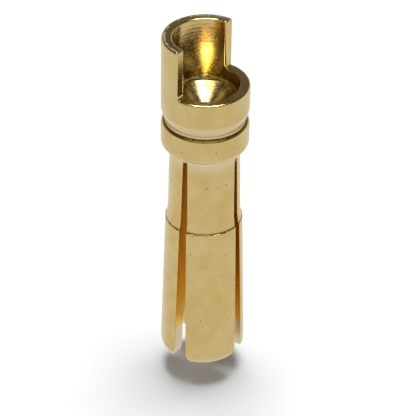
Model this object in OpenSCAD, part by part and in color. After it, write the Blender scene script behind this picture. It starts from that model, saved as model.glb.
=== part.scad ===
// Bullet plug for a battery lead: one turned and gold-plated brass pin.
// It stands on the ends of its tines, with the solder cup at the top.
// Origin: centre of the tine ends. +Z runs up the axis to the solder cup,
// and +X points out of the cup's open side.

/* [Contact] */
// Contact diameter just below the step, which is the plug's nominal size
contact_d = 4.0; // [3.85:0.05:4.1]
// Contact diameter at its widest, where the relaxed tines spread
spread_d = 4.4; // [4.15:0.05:4.5]
// Length of the contact barrel, from the tine ends to the step
contact_len = 8.4; // [7:0.1:9]
// Length of the straight land around the widest place
land_len = 0.4; // [0.2:0.05:1]
// Radius that rounds the outside of the tine ends
tip_round = 0.5; // [0.2:0.05:0.6]

/* [Tines] */
// Number of saw cuts across the barrel, each of which makes two slots
saw_cuts = 2; // [1:1:2]
// Depth of the first saw cut, from the tine ends
slot_len = 12.4; // [10:0.05:12.5]
// How much deeper each further cut is
slot_step = 0.15; // [0:0.05:0.15]
// Slot width at its closed end
slot_root_w = 0.25; // [0.2:0.01:0.4]
// Slot width at the tine ends
slot_tip_w = 0.7; // [0.4:0.02:0.8]
// Radius that rounds the tines' corners at the mouth of each slot
slot_mouth_r = 0.2; // [0.1:0.05:0.3]
// Turn of the slots about the axis
slot_turn = 7; // [0:0.5:45]
// Distance that each cut runs beside the axis
saw_off = 0.09; // [0:0.01:0.1]
// Diameter of the hole between the tines, at its closed end
hollow_d = 2.2; // [1.6:0.1:2.6]
// Depth of that hole to the shoulder of its drill point
hollow_depth = 12.8; // [12.7:0.1:13]

/* [Neck and collar] */
// Neck diameter under the collar
neck_d = 3.6; // [3.5:0.05:3.7]
// Neck diameter at the step, a little spread by the tines
neck_low_d = 3.76; // [3.6:0.02:3.8]
// Neck length, from the step to the start of the collar's shoulder
neck_len = 4.3; // [4.2:0.05:5]
// Collar diameter
collar_d = 4.5; // [4.4:0.05:5]
// Height of the S-curved shoulder between neck and collar
shoulder_h = 0.45; // [0.45:0.05:0.8]
// Share of the shoulder's height that curves outwards
shoulder_share = 0.8; // [0.4:0.05:0.9]
// Height of the collar's straight wall
collar_h = 1.15; // [0.8:0.05:1.5]

/* [Solder cup] */
// Diameter at the foot of the cup, where it meets the collar
groove_d = 4.06; // [3.9:0.02:4.2]
// Height over which the cup widens from its foot
taper_h = 0.75; // [0.5:0.05:1]
// Cup diameter
cup_d = 4.5; // [4.4:0.05:5]
// Height of the cup's straight wall
cup_h = 4.05; // [3.8:0.05:5]
// Height of the half of the cup's wall that is cut away
cut_h = 2.7; // [2:0.05:3]
// Distance that the cut passes the axis
cut_past = 0.07; // [0:0.01:0.2]
// Diameter of the cup's bore
cup_bore_d = 3.4; // [3:0.05:3.5]
// Depth of the bore to the shoulder of its drill point
cup_bore_depth = 3.45; // [3.1:0.05:3.6]
// Included angle of the drill points
drill_angle = 118; // [110:1:140]
// Radius of the small roundings on turned edges
edge_r = 0.1; // [0.02:0.01:0.12]

/* [Hidden] */
$fn = 96;
overcut = 0.01;
gold = [0.79, 0.70, 0.49];

function to_micron(mm) = round(1000 * mm) / 1000;

// heights of the turned features, from the tine ends
land_top_z = tip_round + land_len;
step_z = contact_len;
neck_top_z = step_z + neck_len;
collar_low_z = neck_top_z + shoulder_h;
collar_top_z = collar_low_z + collar_h;
cup_low_z = collar_top_z + taper_h;
rim_z = cup_low_z + cup_h;
cut_z = rim_z - cut_h;
cup_floor_z = rim_z - cup_bore_depth;

// the shoulder is an S of two arcs that turn through the same angle
shoulder_w = (collar_d - neck_d) / 2;
shoulder_turn = 2 * atan(shoulder_w / shoulder_h);
arcs_r = shoulder_h / sin(shoulder_turn);
outer_arc_r = to_micron(arcs_r * shoulder_share);
inner_arc_r = to_micron(arcs_r - outer_arc_r);

// the tines keep the wall of the straight barrel that they were cut from
spread_slope = (spread_d - contact_d) / 2 / (step_z - land_top_z);
hollow_tip_d = hollow_d + 2 * spread_slope * hollow_depth;
clear_r = max(cup_d, collar_d);

// A turned length from z0 to z1 whose outer edges are rounded by low_r and top_r
module turned(r, z0, z1, low_r, top_r) {
    translate([0, z0 + low_r]) square([r, z1 - z0 - low_r - top_r]);
    if (low_r > 0) {
        translate([0, z0]) square([r - low_r, low_r]);
        translate([r - low_r, z0 + low_r]) circle(low_r);
    }
    if (top_r > 0) {
        translate([0, z1 - top_r]) square([r - top_r, top_r]);
        translate([r - top_r, z1 - top_r]) circle(top_r);
    }
}

module contact_outline() {
    turned(spread_d / 2, 0, land_top_z, tip_round, 0);
    polygon([
        [0, land_top_z], [spread_d / 2, land_top_z],
        [contact_d / 2, step_z], [0, step_z]
    ]);
}

module neck_outline() {
    polygon([
        [0, step_z], [neck_low_d / 2, step_z],
        [neck_d / 2, neck_top_z], [0, neck_top_z]
    ]);
}

// The two arcs meet on the line between their centres
module shoulder_outline() {
    difference() {
        union() {
            polygon([
                [0, neck_top_z], [neck_d / 2 + inner_arc_r, neck_top_z],
                [collar_d / 2 - outer_arc_r, collar_low_z], [0, collar_low_z]
            ]);
            translate([collar_d / 2 - outer_arc_r, collar_low_z]) circle(outer_arc_r);
        }
        translate([neck_d / 2 + inner_arc_r, neck_top_z]) circle(inner_arc_r);
    }
}

module cup_outline() {
    polygon([
        [0, collar_top_z], [groove_d / 2, collar_top_z],
        [cup_d / 2, cup_low_z], [0, cup_low_z]
    ]);
    turned(cup_d / 2, cup_low_z, rim_z, 0, edge_r);
}

// A blind hole along the axis with a drill point. It may widen towards its mouth.
module drilled_outline(mouth_z, floor_z, mouth_d, floor_d) {
    point = (floor_z > mouth_z ? 1 : -1) * floor_d / 2 / tan(drill_angle / 2);
    polygon([
        [0, mouth_z], [mouth_d / 2, mouth_z], [floor_d / 2, floor_z], [0, floor_z + point]
    ]);
}

// The pin as it leaves the lathe, bored from both ends
module turned_blank() {
    rotate_extrude() difference() {
        union() {
            contact_outline();
            neck_outline();
            shoulder_outline();
            turned(collar_d / 2, collar_low_z, collar_top_z, 0, edge_r);
            cup_outline();
        }
        drilled_outline(rim_z + overcut, cup_floor_z, cup_bore_d, cup_bore_d);
        drilled_outline(-overcut, hollow_depth, hollow_tip_d, hollow_d);
    }
}

// The half of the cup's wall that is cut away for the wire
module cup_cut() {
    translate([-cut_past, -clear_r, cut_z]) cube([clear_r, 2 * clear_r, cut_h + overcut]);
}

// What rounds one corner of a tine beside a slot's mouth
module mouth_corner() {
    difference() {
        translate([-overcut, -overcut]) square(slot_mouth_r + overcut);
        translate([slot_mouth_r, slot_mouth_r]) circle(slot_mouth_r);
    }
}

// One saw cut across the whole barrel, narrow at its closed end
module slot(depth) {
    rotate([90, 0, 0]) linear_extrude(2 * clear_r, center = true) {
        polygon([
            [-slot_tip_w / 2, -overcut], [slot_tip_w / 2, -overcut],
            [slot_root_w / 2, depth], [-slot_root_w / 2, depth]
        ]);
        for (side = [0, 1]) mirror([side, 0]) translate([slot_tip_w / 2, 0]) mouth_corner();
    }
}

module bullet_plug() {
    color(gold) difference() {
        turned_blank();
        cup_cut();
        rotate(slot_turn) translate([-saw_off, saw_off, 0])
            for (i = [0 : saw_cuts - 1]) rotate(90 * i) slot(slot_len + slot_step * i);
    }
}

bullet_plug();
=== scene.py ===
import bpy
import bmesh
import math
from mathutils import Matrix, Vector


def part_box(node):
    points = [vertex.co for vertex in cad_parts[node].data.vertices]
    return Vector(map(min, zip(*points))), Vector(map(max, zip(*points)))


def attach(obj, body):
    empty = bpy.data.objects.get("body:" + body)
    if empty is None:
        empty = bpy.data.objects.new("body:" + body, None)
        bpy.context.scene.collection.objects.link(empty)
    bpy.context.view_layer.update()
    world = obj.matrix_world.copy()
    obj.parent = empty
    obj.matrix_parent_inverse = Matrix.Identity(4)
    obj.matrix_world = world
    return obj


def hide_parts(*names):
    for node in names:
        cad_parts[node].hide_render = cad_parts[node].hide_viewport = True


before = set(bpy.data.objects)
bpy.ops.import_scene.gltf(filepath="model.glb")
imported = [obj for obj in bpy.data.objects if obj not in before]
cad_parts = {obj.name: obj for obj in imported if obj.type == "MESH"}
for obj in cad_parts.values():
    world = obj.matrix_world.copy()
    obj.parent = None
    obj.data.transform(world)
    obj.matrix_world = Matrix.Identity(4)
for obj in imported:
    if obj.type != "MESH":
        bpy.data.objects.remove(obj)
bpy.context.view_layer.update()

MM = 0.001

# ---------------------------------------------------------------- sizes of the plug, in millimetres

plug_low, plug_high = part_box("bullet_plug")
AXIS_X = (plug_low.x + plug_high.x) / 2
AXIS_Y = (plug_low.y + plug_high.y) / 2
FOOT_Z = plug_low.z
RIM_Z = (plug_high.z - plug_low.z) / MM
BODY_R = (plug_high.x - plug_low.x) / 2 / MM

# Split contact, from the tine ends up
CONTACT_R = 2.0
LAND_R = 2.2
LAND_TOP_Z = 0.9
TIP_ROUND = 0.5
STEP_Z = 8.36
STEP_W = 0.055
STEP_FLARE = 0.6
HOLLOW_R = 1.1
HOLLOW_MOUTH_R = 1.4413
HOLLOW_DEPTH = 12.8

# Saw cuts that part the four tines
SLOT_TURN = math.radians(7)
SLOT_OFF = 0.09
SLOT_ROOT_W = 0.25
SLOT_TIP_W = 0.7
SLOT_MOUTH_ROUND = 0.55
SLOT_DEPTHS = (12.4, 12.55)

# Neck, shoulder and collar
NECK_LOW_R = 1.88
NECK_TOP_R = 1.8
NECK_TOP_Z = 12.7
HOLLOW_ARC = 0.09
SHOULDER_ARC = 0.36
COLLAR_LOW_Z = 13.15
COLLAR_TOP_Z = 14.3
COLLAR_EDGE = 0.16

# Solder cup
CUP_FOOT_R = 2.03
CUP_LOW_Z = 15.05
LEDGE_Z = 16.4
CUT_PAST = 0.07
BORE_R = 1.7
BORE_FLOOR_Z = 15.65
DRILL_ANGLE = math.radians(118)

# How fine the mesh is
TINE_COLUMNS = 18
SLOT_COLUMNS = 4
WALL_STEPS = 5


# ---------------------------------------------------------------- outline of the turned blank

def arc(centre_r, centre_z, radius, start, end, steps):
    """Points of an arc in the turning plane, angles in degrees from straight out."""
    points = []
    for i in range(steps + 1):
        a = math.radians(start + (end - start) * i / steps)
        points.append((centre_r + radius * math.cos(a), centre_z + radius * math.sin(a)))
    return points


def straight(start, end, steps):
    """Points after start, up to and with end."""
    points = []
    for i in range(1, steps + 1):
        t = i / steps
        points.append((start[0] + (end[0] - start[0]) * t, start[1] + (end[1] - start[1]) * t))
    return points


def contact_outline():
    """Outside of the tines and of the slotted neck, from the tine ends up."""
    points = arc(LAND_R - TIP_ROUND, TIP_ROUND, TIP_ROUND, -90, 0, 9)
    points += straight(points[-1], (LAND_R, LAND_TOP_Z), 2)
    points += straight(points[-1], (CONTACT_R, STEP_Z - 0.012), 14)
    points += [(CONTACT_R - STEP_W, STEP_Z)]
    slope = (NECK_TOP_R - NECK_LOW_R) / (NECK_TOP_Z - STEP_Z)
    foot = (NECK_LOW_R + slope * STEP_FLARE, STEP_Z + STEP_FLARE)
    points += straight(points[-1], foot, 3)
    for depth in SLOT_DEPTHS:
        end = (NECK_LOW_R + slope * (depth - STEP_Z), depth)
        points += straight(points[-1], end, 8 if depth == SLOT_DEPTHS[0] else 1)
    points += straight(points[-1], (NECK_TOP_R, NECK_TOP_Z), 1)
    return points


def shoulder_outline():
    """From the neck's top over the collar to the foot of the cup's wall."""
    points = arc(NECK_TOP_R + HOLLOW_ARC, NECK_TOP_Z, HOLLOW_ARC, 180, 90, 4)
    points += arc(BODY_R - SHOULDER_ARC, COLLAR_LOW_Z, SHOULDER_ARC, -90, 0, 8)[1:]
    points += straight(points[-1], (BODY_R, COLLAR_TOP_Z - COLLAR_EDGE), 6)
    points += arc(BODY_R - COLLAR_EDGE, COLLAR_TOP_Z - COLLAR_EDGE, COLLAR_EDGE, 0, 90, 4)[1:]
    points += [(CUP_FOOT_R, COLLAR_TOP_Z)]
    points += straight(points[-1], (BODY_R, CUP_LOW_Z), 4)
    points += straight(points[-1], (BODY_R, LEDGE_Z), 5)
    return points


def hollow_radius(z):
    return HOLLOW_MOUTH_R + (HOLLOW_R - HOLLOW_MOUTH_R) * min(z / HOLLOW_DEPTH, 1)


# ---------------------------------------------------------------- where the columns of the mesh run

def slot_half_width(k, z):
    """Half the width of saw cut k at height z, wider at the rounded mouth."""
    t = min(z / SLOT_DEPTHS[k % 2], 1)
    half = (SLOT_TIP_W + (SLOT_ROOT_W - SLOT_TIP_W) * t) / 2
    if z < SLOT_MOUTH_ROUND:
        half += SLOT_MOUTH_ROUND - math.sqrt(SLOT_MOUTH_ROUND ** 2 - (SLOT_MOUTH_ROUND - z) ** 2)
    return half


def slot_edge(k, side, z, r):
    """Angle of one edge of saw cut k, on radius r at height z."""
    off = SLOT_OFF if k % 4 < 2 else -SLOT_OFF
    return SLOT_TURN + k * math.pi / 2 + math.asin((off + side * slot_half_width(k, z)) / r)


def tine_angles(k, z, r):
    """Angles across the tine that stands between cuts k and k + 1."""
    start, end = slot_edge(k, 1, z, r), slot_edge(k + 1, -1, z, r)
    return [start + (end - start) * i / TINE_COLUMNS for i in range(TINE_COLUMNS + 1)]


def slot_angles(k, z, r):
    start, end = slot_edge(k, -1, z, r), slot_edge(k, 1, z, r)
    return [start + (end - start) * i / SLOT_COLUMNS for i in range(SLOT_COLUMNS + 1)]


def barrel_angles(z, r):
    """All columns round the barrel, starting at the near edge of cut 0."""
    angles = []
    for k in range(4):
        angles += slot_angles(k, z, r)[:-1]
        angles += tine_angles(k, z, r)[:-1]
    return angles


COLUMNS = 4 * (TINE_COLUMNS + SLOT_COLUMNS)


def nearest_column(angle):
    angles = barrel_angles(NECK_TOP_Z, BODY_R)
    return min(range(COLUMNS), key=lambda i: abs(angles[i] - angle))


def cut_angle(r):
    """Where the flat that opens the cup meets radius r."""
    return math.acos(-CUT_PAST / r)


WALL_START = nearest_column(cut_angle(BODY_R))
WALL_END = nearest_column(2 * math.pi - cut_angle(BODY_R))
WALL_COLUMNS = WALL_END - WALL_START


def cup_angle(i, r):
    """Column i on the cup: even steps round the standing wall and round the open side."""
    cut = cut_angle(r)
    if WALL_START <= i <= WALL_END:
        return cut + (2 * math.pi - 2 * cut) * (i - WALL_START) / WALL_COLUMNS
    steps = (i - WALL_END) % COLUMNS
    angle = 2 * math.pi - cut + 2 * cut * steps / (COLUMNS - WALL_COLUMNS)
    return angle if i > WALL_END else angle - 2 * math.pi


def shoulder_angles(z, r):
    """The barrel's columns turn into the cup's within the collar."""
    t = min(max((z - NECK_TOP_Z) / (COLLAR_TOP_Z - NECK_TOP_Z), 0), 1)
    t = t * t * (3 - 2 * t)
    barrel = barrel_angles(NECK_TOP_Z, r)
    return [barrel[i] * (1 - t) + cup_angle(i, r) * t for i in range(COLUMNS)]


def wall_angles(r):
    return [cup_angle(i, r) for i in range(WALL_START, WALL_END + 1)]


def open_angles(r):
    start = cup_angle(WALL_END, r) - 2 * math.pi
    return [start] + [cup_angle(i, r) - (2 * math.pi if i > WALL_END else 0)
                      for i in list(range(WALL_END + 1, COLUMNS)) + list(range(0, WALL_START + 1))]


# ---------------------------------------------------------------- patches of the plug's skin

OUTSIDE, TURNED_FLAT, CUP_BORE, SAWN, HOLLOW, TURNED_STEP = range(6)


def point(angle, r, z):
    return Vector((r * math.cos(angle), r * math.sin(angle), z))


def patch(mesh, rows, finish, closed=False):
    """Quads between rows of points. The last point joins the first where the patch is closed."""
    rings = [[mesh.verts.new(p) for p in row] for row in rows]
    count = len(rings[0])
    for low, high in zip(rings, rings[1:]):
        for i in range(count if closed else count - 1):
            j = (i + 1) % count
            face = mesh.faces.new((low[i], low[j], high[j], high[i]))
            face.material_index = finish


def across(outer, inner, steps):
    """Rows of points from the outer row to the inner row."""
    rows = []
    for n in range(steps + 1):
        rows.append([a.lerp(b, n / steps) for a, b in zip(outer, inner)])
    return rows


def add_tines(mesh):
    outline = contact_outline()
    for k in range(4):
        outer = []
        inner = []
        for r, z in outline:
            outer.append([point(a, r, z) for a in tine_angles(k, z, r)])
            bore = hollow_radius(z)
            inner.append([point(a, bore, z) for a in tine_angles(k, z, bore)])
        patch(mesh, outer, OUTSIDE)
        patch(mesh, inner, HOLLOW)
        patch(mesh, across(outer[0], inner[0], WALL_STEPS), TURNED_FLAT)


def add_slots(mesh):
    outline = contact_outline()
    for k in range(4):
        depth = SLOT_DEPTHS[k % 2]
        for side in (-1, 1):
            outer = [point(slot_edge(k, side, z, r), r, z) for r, z in outline if z <= depth]
            inner = []
            for r, z in outline:
                if z <= depth:
                    bore = hollow_radius(z)
                    inner.append(point(slot_edge(k, side, z, bore), bore, z))
            patch(mesh, across(outer, inner, WALL_STEPS), SAWN)
        outer = []
        inner = []
        for r, z in outline:
            if z >= depth:
                bore = hollow_radius(z)
                outer.append([point(a, r, z) for a in slot_angles(k, z, r)])
                inner.append([point(a, bore, z) for a in slot_angles(k, z, bore)])
        patch(mesh, outer, OUTSIDE)
        patch(mesh, inner, HOLLOW)
        patch(mesh, across(outer[0], inner[0], WALL_STEPS), SAWN)


def add_hollow_end(mesh):
    """The drill point at the blind end of the hollow."""
    apex = HOLLOW_DEPTH + HOLLOW_R / math.tan(DRILL_ANGLE / 2)
    low = hollow_radius(NECK_TOP_Z)
    rows = [[point(a, low, NECK_TOP_Z) for a in barrel_angles(NECK_TOP_Z, low)]]
    for t in (0, 0.35, 0.7, 0.94):
        r = HOLLOW_R * (1 - t)
        z = HOLLOW_DEPTH + (apex - HOLLOW_DEPTH) * t
        rows.append([point(a, r, z) for a in barrel_angles(NECK_TOP_Z, HOLLOW_R)])
    patch(mesh, rows, HOLLOW, closed=True)
    close_point(mesh, rows[-1], apex, HOLLOW)


def close_point(mesh, ring, z, finish):
    tip = mesh.verts.new((0, 0, z))
    verts = [mesh.verts.new(p) for p in ring]
    for i in range(len(verts)):
        face = mesh.faces.new((verts[i], verts[(i + 1) % len(verts)], tip))
        face.material_index = finish


def add_collar(mesh):
    rows = [[point(a, r, z) for a in shoulder_angles(z, r)] for r, z in shoulder_outline()]
    patch(mesh, rows, OUTSIDE, closed=True)


def mark_turned_steps(mesh):
    """The ledges on the collar and at the contact's top keep the marks of the facing tool."""
    for face in mesh.faces:
        low = min(v.co.z for v in face.verts)
        high = max(v.co.z for v in face.verts)
        on_collar = low > COLLAR_TOP_Z - COLLAR_EDGE - 0.01 and high < COLLAR_TOP_Z + 0.01
        on_contact = low > STEP_Z - 0.02 and high < STEP_Z + 0.01
        if face.material_index == OUTSIDE and (on_collar or on_contact):
            face.material_index = TURNED_STEP


def add_cup(mesh):
    """The standing half of the wall, the ledge of the open half, and the bore."""
    heights = [LEDGE_Z + (RIM_Z - LEDGE_Z) * i / 9 for i in range(10)]
    patch(mesh, [[point(a, BODY_R, z) for a in wall_angles(BODY_R)] for z in heights], OUTSIDE)
    patch(mesh, [[point(a, BORE_R, z) for a in wall_angles(BORE_R)] for z in heights], CUP_BORE)
    radii = [BODY_R + (BORE_R - BODY_R) * i / WALL_STEPS for i in range(WALL_STEPS + 1)]
    patch(mesh, [[point(a, r, RIM_Z) for a in wall_angles(r)] for r in radii], TURNED_FLAT)
    patch(mesh, [[point(a, r, LEDGE_Z) for a in open_angles(r)] for r in radii], TURNED_FLAT)
    for column in (WALL_START, WALL_END):
        face = [[point(cup_angle(column, r), r, z) for r in radii] for z in heights]
        patch(mesh, face, TURNED_FLAT)


def add_bore_floor(mesh):
    ring = [cup_angle(i, BORE_R) for i in range(COLUMNS)]
    heights = [LEDGE_Z + (BORE_FLOOR_Z - LEDGE_Z) * i / 4 for i in range(5)]
    rows = [[point(a, BORE_R, z) for a in ring] for z in heights]
    drop = BORE_R / math.tan(DRILL_ANGLE / 2)
    for i in range(1, 12):
        t = i / 12
        rows.append([point(a, BORE_R * (1 - t), BORE_FLOOR_Z - drop * t) for a in ring])
    patch(mesh, rows, CUP_BORE, closed=True)
    close_point(mesh, rows[-1], BORE_FLOOR_Z - drop, CUP_BORE)


# ---------------------------------------------------------------- burnished edges

def edge_round(edge):
    """How far a sharp edge is worn round, in millimetres."""
    z = sum(v.co.z for v in edge.verts) / 2
    r = sum(math.hypot(v.co.x, v.co.y) for v in edge.verts) / 2
    finishes = {face.material_index for face in edge.link_faces}
    if z > RIM_Z - 0.01 and r > BODY_R - 0.02:
        return 0.12
    if z > RIM_Z - 0.01 and finishes == {TURNED_FLAT}:
        return 0.12
    if z > LEDGE_Z - 0.01 and OUTSIDE in finishes:
        return 0.1
    if TURNED_FLAT in finishes and CUP_BORE in finishes:
        return 0.09
    if SAWN in finishes and OUTSIDE in finishes:
        return 0.035 + 0.06 * max(0, 1 - z / 2.5)
    return 0.03


def round_edges(mesh):
    """Rounds every sharp edge that stands proud, by its own amount."""
    weight = mesh.edges.layers.float.new("bevel_weight_edge")
    for edge in mesh.edges:
        if not edge.is_manifold or edge.calc_face_angle_signed() < math.radians(35):
            continue
        z = sum(v.co.z for v in edge.verts) / 2
        near_step = abs(z - STEP_Z) < 0.05
        edge[weight] = 0.1 if near_step else edge_round(edge) / 0.1


def fray_step(mesh):
    """The plating's edge on the contact's top is a little ragged."""
    for vert in mesh.verts:
        if abs(vert.co.z - STEP_Z) < 0.03 and math.hypot(vert.co.x, vert.co.y) > HOLLOW_MOUTH_R + 0.1:
            turn = math.atan2(vert.co.y, vert.co.x)
            vert.co.z += 0.011 * math.sin(23 * turn) + 0.009 * math.sin(61 * turn + 1)


def dress_plug():
    mesh = bmesh.new()
    add_tines(mesh)
    add_slots(mesh)
    add_hollow_end(mesh)
    add_collar(mesh)
    add_cup(mesh)
    add_bore_floor(mesh)
    bmesh.ops.remove_doubles(mesh, verts=mesh.verts, dist=0.0004)
    bmesh.ops.recalc_face_normals(mesh, faces=mesh.faces)
    mark_turned_steps(mesh)
    fray_step(mesh)
    round_edges(mesh)
    place = Matrix.Translation((AXIS_X, AXIS_Y, FOOT_Z)) @ Matrix.Scale(MM, 4)
    bmesh.ops.transform(mesh, matrix=place, verts=mesh.verts)
    for face in mesh.faces:
        face.smooth = True
    data = bpy.data.meshes.new("dressed_plug")
    mesh.to_mesh(data)
    mesh.free()
    plug = bpy.data.objects.new("dressed_plug", data)
    bpy.context.collection.objects.link(plug)
    bevel = plug.modifiers.new("burnished_edges", "BEVEL")
    bevel.limit_method = "WEIGHT"
    bevel.offset_type = "OFFSET"
    bevel.width = 0.1 * MM
    bevel.segments = 4
    bevel.use_clamp_overlap = False
    bevel.harden_normals = True
    return plug


# ---------------------------------------------------------------- effects that the finishes share

def new_group(name, inputs, outputs):
    group = bpy.data.node_groups.new(name, "ShaderNodeTree")
    for label, kind, value in inputs:
        socket = group.interface.new_socket(name=label, in_out="INPUT", socket_type=kind)
        socket.default_value = value
    for label, kind in outputs:
        group.interface.new_socket(name=label, in_out="OUTPUT", socket_type=kind)
    return group, group.nodes.new("NodeGroupInput"), group.nodes.new("NodeGroupOutput")


def math_node(tree, operation, first, second):
    node = tree.nodes.new("ShaderNodeMath")
    node.operation = operation
    for socket, value in zip(node.inputs, (first, second)):
        if isinstance(value, (int, float)):
            socket.default_value = value
        else:
            tree.links.new(value, socket)
    return node.outputs[0]


def noise_node(tree, vector, scale, detail, rough=0.6):
    node = tree.nodes.new("ShaderNodeTexNoise")
    node.inputs["Detail"].default_value = detail
    node.inputs["Roughness"].default_value = rough
    node.inputs["Scale"].default_value = scale
    tree.links.new(vector, node.inputs["Vector"])
    return node.outputs["Fac"]


def millimetres(tree):
    """Place on the plug, with one unit to the millimetre."""
    place = tree.nodes.new("ShaderNodeTexCoord")
    scale = tree.nodes.new("ShaderNodeVectorMath")
    scale.operation = "SCALE"
    scale.inputs["Scale"].default_value = 1 / MM
    tree.links.new(place.outputs["Object"], scale.inputs[0])
    return scale.outputs[0]


def axes(tree, vector):
    """The X, Y and Z parts of a vector."""
    split = tree.nodes.new("ShaderNodeSeparateXYZ")
    tree.links.new(vector, split.inputs[0])
    return split.outputs


def range_node(tree, value, low, high, start=0.0, end=1.0):
    node = tree.nodes.new("ShaderNodeMapRange")
    node.clamp = True
    for label, number in (("From Min", low), ("From Max", high), ("To Min", start), ("To Max", end)):
        node.inputs[label].default_value = number
    tree.links.new(value, node.inputs["Value"])
    return node.outputs["Result"]


def mix_colours(tree, factor, first, second):
    node = tree.nodes.new("ShaderNodeMix")
    node.data_type = "RGBA"
    tree.links.new(factor, node.inputs["Factor"])
    for label, value in (("A", first), ("B", second)):
        socket = [s for s in node.inputs if s.name == label and s.type == "RGBA"][0]
        if isinstance(value, tuple):
            socket.default_value = (*value, 1)
        else:
            tree.links.new(value, socket)
    return [s for s in node.outputs if s.type == "RGBA"][0]


def build_plating_mottle():
    """Cloudy thick and thin plating with fine grain and a few pits."""
    group, given, out = new_group(
        "plating_mottle",
        [("Thick Colour", "NodeSocketColor", (0.8, 0.6, 0.3, 1)),
         ("Thin Colour", "NodeSocketColor", (0.7, 0.6, 0.3, 1)),
         ("Pit Colour", "NodeSocketColor", (0.3, 0.2, 0.1, 1)),
         ("Roughness", "NodeSocketFloat", 0.3)],
        [("Color", "NodeSocketColor"), ("Roughness", "NodeSocketFloat"), ("Height", "NodeSocketFloat")])
    place = millimetres(group)
    cloud = range_node(group, noise_node(group, place, 0.9, 4.0), 0.35, 0.65)
    grain = noise_node(group, place, 9.0, 3.0, 0.7)
    blend = math_node(group, "MULTIPLY_ADD", grain, 1.3)
    group.links.new(math_node(group, "MULTIPLY", cloud, 0.55), blend.node.inputs[2])
    blend = range_node(group, blend, 0.6, 1.28)
    colour = mix_colours(group, blend, given.outputs["Thin Colour"], given.outputs["Thick Colour"])
    pits = noise_node(group, place, 5.5, 1.0)
    pitted = range_node(group, pits, 0.745, 0.78)
    colour = mix_colours(group, pitted, colour, given.outputs["Pit Colour"])
    rough = math_node(group, "MULTIPLY_ADD", range_node(group, grain, 0.3, 0.7, -0.06, 0.08), 1.0)
    group.links.new(given.outputs["Roughness"], rough.node.inputs[2])
    height = math_node(group, "SUBTRACT", math_node(group, "MULTIPLY", grain, 0.5), pitted)
    group.links.new(colour, out.inputs["Color"])
    group.links.new(rough, out.inputs["Roughness"])
    group.links.new(height, out.inputs["Height"])
    return group


def build_turning_marks():
    """Fine rings left by the turning tool, by height on walls and by radius on flats."""
    group, given, out = new_group(
        "turning_marks",
        [("Rings per mm", "NodeSocketFloat", 9.0), ("Coarse Rings", "NodeSocketFloat", 3.0)],
        [("Height", "NodeSocketFloat")])
    x, y, z = axes(group, millimetres(group))
    squares = [math_node(group, "MULTIPLY", part, part) for part in (x, y)]
    square = math_node(group, "ADD", *squares)
    radius = math_node(group, "SQRT", square, 0.0)
    along = math_node(group, "ADD", z, radius)
    marks = []
    for label in ("Rings per mm", "Coarse Rings"):
        ring = group.nodes.new("ShaderNodeCombineXYZ")
        group.links.new(math_node(group, "MULTIPLY", along, given.outputs[label]), ring.inputs[0])
        group.links.new(math_node(group, "MULTIPLY", x, 0.12), ring.inputs[1])
        group.links.new(math_node(group, "MULTIPLY", y, 0.12), ring.inputs[2])
        marks.append(noise_node(group, ring.outputs[0], 1.0, 2.0))
    height = math_node(group, "MULTIPLY_ADD", marks[1], 1.2)
    group.links.new(marks[0], height.node.inputs[2])
    group.links.new(height, out.inputs["Height"])
    return group


# ---------------------------------------------------------------- finishes

def bare_finish(name):
    material = bpy.data.materials.new(name)
    material.use_nodes = True
    shader = material.node_tree.nodes["Principled BSDF"]
    shader.inputs["Metallic"].default_value = 1
    return material, material.node_tree, shader


def use_group(tree, group, values):
    node = tree.nodes.new("ShaderNodeGroup")
    node.node_tree = group
    for label, value in values.items():
        node.inputs[label].default_value = value
    return node


def bump(tree, shader, heights, distance):
    """Raises the heights, one on the other, into the shader's normal."""
    normal = None
    for height, strength in heights:
        node = tree.nodes.new("ShaderNodeBump")
        node.inputs["Strength"].default_value = strength
        node.inputs["Distance"].default_value = distance
        tree.links.new(height, node.inputs["Height"])
        if normal:
            tree.links.new(normal, node.inputs["Normal"])
        normal = node.outputs[0]
    tree.links.new(normal, shader.inputs["Normal"])


def flux_stains(tree, colour):
    """Brown spots low on the bore's wall."""
    place = millimetres(tree)
    height = axes(tree, place)["Z"]
    spots = range_node(tree, noise_node(tree, place, 2.6, 4.0, 0.65), 0.46, 0.6, 0, 0.75)
    low = range_node(tree, height, BORE_FLOOR_Z + 0.2, BORE_FLOOR_Z + 1.3, 1, 0.15)
    high = range_node(tree, height, BORE_FLOOR_Z - 0.35, BORE_FLOOR_Z - 0.05)
    spots = math_node(tree, "MULTIPLY", spots, math_node(tree, "MULTIPLY", low, high))
    return mix_colours(tree, spots, colour, STAIN_BROWN)


def painted_floor_reflection_ends(tree, colour):
    """Paler saw-cut faces near the open ends of the tines: a painted reflection of the bright floor
    below.
    """
    height = axes(tree, millimetres(tree))["Z"]
    return mix_colours(tree, range_node(tree, height, 1.85, 2.1, 1, 0), colour, PAINTED_SHEEN_GOLD)


def band(tree, height, rise, fall, most=1):
    """A soft-edged band of height: nothing below rise, most in the middle, nothing above fall."""
    start = range_node(tree, height, *rise)
    end = range_node(tree, height, *fall, most, 0)
    return math_node(tree, "MULTIPLY", start, end)


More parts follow.
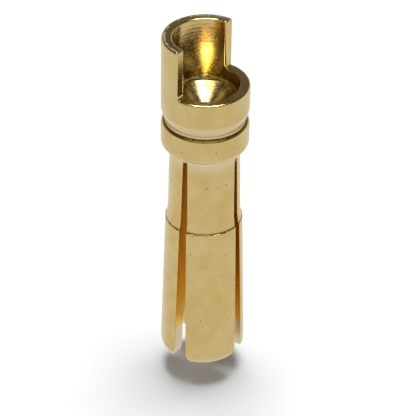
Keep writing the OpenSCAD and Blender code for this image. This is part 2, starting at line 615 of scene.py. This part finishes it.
def painted_sheen_bands(tree, colour):
    """Painted sheen of mirrored floor under the collar and over the groove; painted highlights at tine
    ends and fillet.
    """
    height = axes(tree, millimetres(tree))["Z"]
    neck = band(tree, height, (NECK_TOP_Z - 0.9, NECK_TOP_Z + 0.05), (COLLAR_LOW_Z - 0.3, COLLAR_LOW_Z))
    taper = band(tree, height, (COLLAR_TOP_Z + 0.01, COLLAR_TOP_Z + 0.1),
                 (CUP_LOW_Z - 0.1, CUP_LOW_Z + 0.05), 0.7)
    fillet = band(tree, height, (NECK_TOP_Z - 0.16, NECK_TOP_Z - 0.06),
                  (NECK_TOP_Z + 0.1, COLLAR_LOW_Z - 0.2))
    # painted highlight, in cream, on the tine ends' rounding and on the fillet under the collar
    ends = math_node(tree, "MAXIMUM", range_node(tree, height, 0.1, 0.55, 0.8, 0), fillet)
    colour = mix_colours(tree, math_node(tree, "ADD", neck, taper), colour, PAINTED_SHEEN_GOLD)
    return mix_colours(tree, ends, colour, PAINTED_HIGHLIGHT_GOLD)


def plated(name, thick, thin, pit, roughness, grain_bump, ring_bump, turned=0.0, rings=9.0, stains_and_sheen=None):
    """Gold plate over turned brass. Turned is how far the tool's rings stretch a highlight."""
    material, tree, shader = bare_finish(name)
    mottle = use_group(tree, plating_mottle, {
        "Thick Colour": (*thick, 1), "Thin Colour": (*thin, 1), "Pit Colour": (*pit, 1),
        "Roughness": roughness})
    marks = use_group(tree, turning_marks, {"Rings per mm": rings, "Coarse Rings": rings / 3})
    colour = mottle.outputs["Color"]
    # Adds the bore's stains, or the painted sheen, highlights and floor reflection of the outside and
    # saw cuts.
    if stains_and_sheen:
        colour = stains_and_sheen(tree, colour)
    tree.links.new(colour, shader.inputs["Base Color"])
    tree.links.new(mottle.outputs["Roughness"], shader.inputs["Roughness"])
    heights = [(mottle.outputs["Height"], grain_bump)]
    if ring_bump:
        heights.append((marks.outputs["Height"], ring_bump))
    bump(tree, shader, heights, 0.02 * MM)
    if turned:
        shader.inputs["Anisotropic"].default_value = turned
        shader.inputs["Anisotropic Rotation"].default_value = 0.25
        tangent = tree.nodes.new("ShaderNodeTangent")
        tangent.direction_type = "RADIAL"
        tangent.axis = "Z"
        tree.links.new(tangent.outputs[0], shader.inputs["Tangent"])
    return material


plating_mottle = build_plating_mottle()
turning_marks = build_turning_marks()

PALE_GOLD = (0.6, 0.476, 0.218)
WARM_GOLD = (0.558, 0.394, 0.136)
# Saturated amber on the saw cuts and in the hollow: painted reflection, standing in for light bounced
# between gold faces.
DEEP_GOLD = (0.76, 0.485, 0.06)
STEP_GOLD = (0.76, 0.53, 0.18)
BORE_PALE = (0.632, 0.524, 0.286)
BORE_GOLD = (0.585, 0.415, 0.109)
BROWN = (0.245, 0.15, 0.048)
# Painted light: a paler sheen of mirrored floor, and cream highlights on the roundings.
PAINTED_SHEEN_GOLD = (0.653, 0.544, 0.34)
PAINTED_HIGHLIGHT_GOLD = (0.68, 0.605, 0.449)
STAIN_BROWN = (0.204, 0.116, 0.02)

plug = dress_plug()
# In the order of the face finishes: name, colours, roughness, grain and ring bump, then what else it has
for finish in (
        ("satin_plate", PALE_GOLD, WARM_GOLD, BROWN, 0.27, 0.34, 0.0, 0.0, 9.0, painted_sheen_bands),
        ("turned_rim", PALE_GOLD, WARM_GOLD, BROWN, 0.18, 0.03, 0.04, 0.75),
        ("bright_bore", BORE_PALE, BORE_GOLD, BROWN, 0.2, 0.02, 0.38, 0.4, 7.0, flux_stains),
        ("sawn_face", DEEP_GOLD, DEEP_GOLD, BROWN, 0.3, 0.3, 0.0, 0.0, 9.0, painted_floor_reflection_ends),
        ("hollow_wall", DEEP_GOLD, DEEP_GOLD, BROWN, 0.3, 0.3, 0.2),
        ("turned_step", STEP_GOLD, WARM_GOLD, BROWN, 0.19, 0.02, 0.03, 0.3)):
    plug.data.materials.append(plated(*finish))
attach(plug, "root")
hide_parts("bullet_plug")


# ---------------------------------------------------------------- floor and light

def floor_paint(tree, colour, glow):
    shader = tree.nodes.new("ShaderNodeBsdfPrincipled")
    shader.inputs["Base Color"].default_value = (*colour, 1)
    shader.inputs["Roughness"].default_value = 0.9
    shader.inputs["Specular IOR Level"].default_value = 0
    shader.inputs["Emission Color"].default_value = (*glow, 1)
    return shader


def make_floor():
    """A pale table. It shows white to the eye and in the metal, and keeps the shadow."""
    bpy.ops.mesh.primitive_plane_add(size=2.0, location=(AXIS_X, AXIS_Y, FOOT_Z - FLOOR_DROP))
    floor = bpy.context.object
    floor.name = "floor"
    floor.rotation_euler.z = math.radians(FRONT_TURN)
    material = bpy.data.materials.new("pale_floor")
    material.use_nodes = True
    tree = material.node_tree
    tree.nodes.remove(tree.nodes["Principled BSDF"])
    path = tree.nodes.new("ShaderNodeLightPath")
    seen = math_node(tree, "MAXIMUM", path.outputs["Is Camera Ray"], path.outputs["Is Transmission Ray"])
    table = floor_paint(tree, FLOOR_SEEN, FLOOR_GLOW)
    tree.links.new(seen, table.inputs["Emission Strength"])
    mirrored = floor_paint(tree, FLOOR_MIRRORED, FLOOR_MIRROR_GLOW)
    tree.links.new(path.outputs["Is Glossy Ray"], mirrored.inputs["Emission Strength"])
    mix = tree.nodes.new("ShaderNodeMixShader")
    tree.links.new(seen, mix.inputs["Fac"])
    tree.links.new(mirrored.outputs[0], mix.inputs[1])
    tree.links.new(table.outputs[0], mix.inputs[2])
    tree.links.new(mix.outputs[0], tree.nodes["Material Output"].inputs["Surface"])
    floor.data.materials.append(material)


def softbox(name, azimuth, elevation, distance, size, power):
    """An area lamp that looks at the middle of the plug."""
    a, e = math.radians(azimuth), math.radians(elevation)
    away = Vector((math.sin(a) * math.cos(e), -math.cos(a) * math.cos(e), math.sin(e)))
    lamp = bpy.data.lights.new(name, "AREA")
    lamp.shape = "RECTANGLE"
    lamp.size, lamp.size_y = size
    lamp.energy = power
    holder = bpy.data.objects.new(name, lamp)
    holder.location = Vector((AXIS_X, AXIS_Y, FOOT_Z + 0.01)) + away * distance
    holder.rotation_euler = away.to_track_quat("Z", "Y").to_euler()
    bpy.context.collection.objects.link(holder)


FRONT_TURN = 37.5
FLOOR_DROP = 1.3 * MM
FLOOR_SEEN = (0.92, 0.94, 0.965)
FLOOR_GLOW = (0.08, 0.08, 0.082)
FLOOR_MIRRORED = (0.1, 0.1, 0.1)
FLOOR_MIRROR_GLOW = (0.9, 0.9, 0.9)
make_floor()
softbox("key_softbox", FRONT_TURN + 168, 82, 0.45, (0.22, 0.17), 2.0)
softbox("top_card", FRONT_TURN, 83, 0.5, (0.55, 0.08), 0.2)
for n in (-1, 0, 1):
    softbox(f"front_strip_{n + 2}", FRONT_TURN - 4 + 17 * n, 48, 0.5, (0.15, 0.08), 0.04)


def make_room():
    """A plain room, white at the horizon. Overhead it is dark in the metal, as under black cards."""
    world = bpy.data.worlds.new("studio")
    bpy.context.scene.world = world
    world.use_nodes = True
    tree = world.node_tree
    ground = tree.nodes["Background"]
    ground.inputs["Color"].default_value = (*ROOM_TINT, 1)
    path = tree.nodes.new("ShaderNodeLightPath")
    place = tree.nodes.new("ShaderNodeTexCoord")
    rise = axes(tree, place.outputs["Generated"])["Z"]
    backdrop = range_node(tree, rise, 0.2, 0.45, BACKDROP_MIRRORED, ROOM_MIRRORED)
    ceiling = range_node(tree, rise, 0.62, 0.85, 1, CEILING_SHARE)
    glossy = path.outputs["Is Glossy Ray"]
    mirror = math_node(tree, "MULTIPLY", math_node(tree, "MULTIPLY", backdrop, ceiling), glossy)
    strength = range_node(tree, glossy, 0, 1, ROOM_LIGHT, 0)
    strength = math_node(tree, "ADD", strength, mirror)
    seen = math_node(tree, "MAXIMUM", strength, path.outputs["Is Camera Ray"])
    tree.links.new(seen, ground.inputs["Strength"])


ROOM_TINT = (1.0, 0.97, 0.94)
ROOM_LIGHT = 0.03
ROOM_MIRRORED = 0.15
BACKDROP_MIRRORED = 1.0
CEILING_SHARE = 0.2
make_room()


# ---------------------------------------------------------------- camera

CAMERA_BACK = 0.104688
CAMERA_UP = 0.082388
CAMERA_ROLL = math.radians(0.8869)
AIM_SIDE = 0.000211
AIM_UP = 0.008733
LENS = 213.68


def make_camera():
    """A long lens from the front right and above, aimed near the middle of the plug."""
    turn = math.radians(FRONT_TURN)
    side = Vector((math.cos(turn), math.sin(turn), 0))
    back = Vector((math.sin(turn), -math.cos(turn), 0))
    axis = Vector((AXIS_X, AXIS_Y, FOOT_Z))
    place = axis + back * CAMERA_BACK + Vector((0, 0, CAMERA_UP))
    aim = axis + side * AIM_SIDE + Vector((0, 0, AIM_UP))
    camera = bpy.data.cameras.new("camera")
    camera.lens = LENS
    camera.sensor_width = 36
    camera.clip_start = 0.01
    camera.clip_end = 10
    holder = bpy.data.objects.new("camera", camera)
    look = (aim - place).normalized()
    right = look.cross(Vector((0, 0, 1))).normalized()
    up = right.cross(look)
    cos, sin = math.cos(CAMERA_ROLL), math.sin(CAMERA_ROLL)
    turned = Matrix((right * cos + up * sin, up * cos - right * sin, -look)).transposed().to_4x4()
    holder.matrix_world = Matrix.Translation(place) @ turned
    bpy.context.collection.objects.link(holder)
    bpy.context.scene.camera = holder


make_camera()
bpy.context.scene.view_settings.view_transform = "Standard"
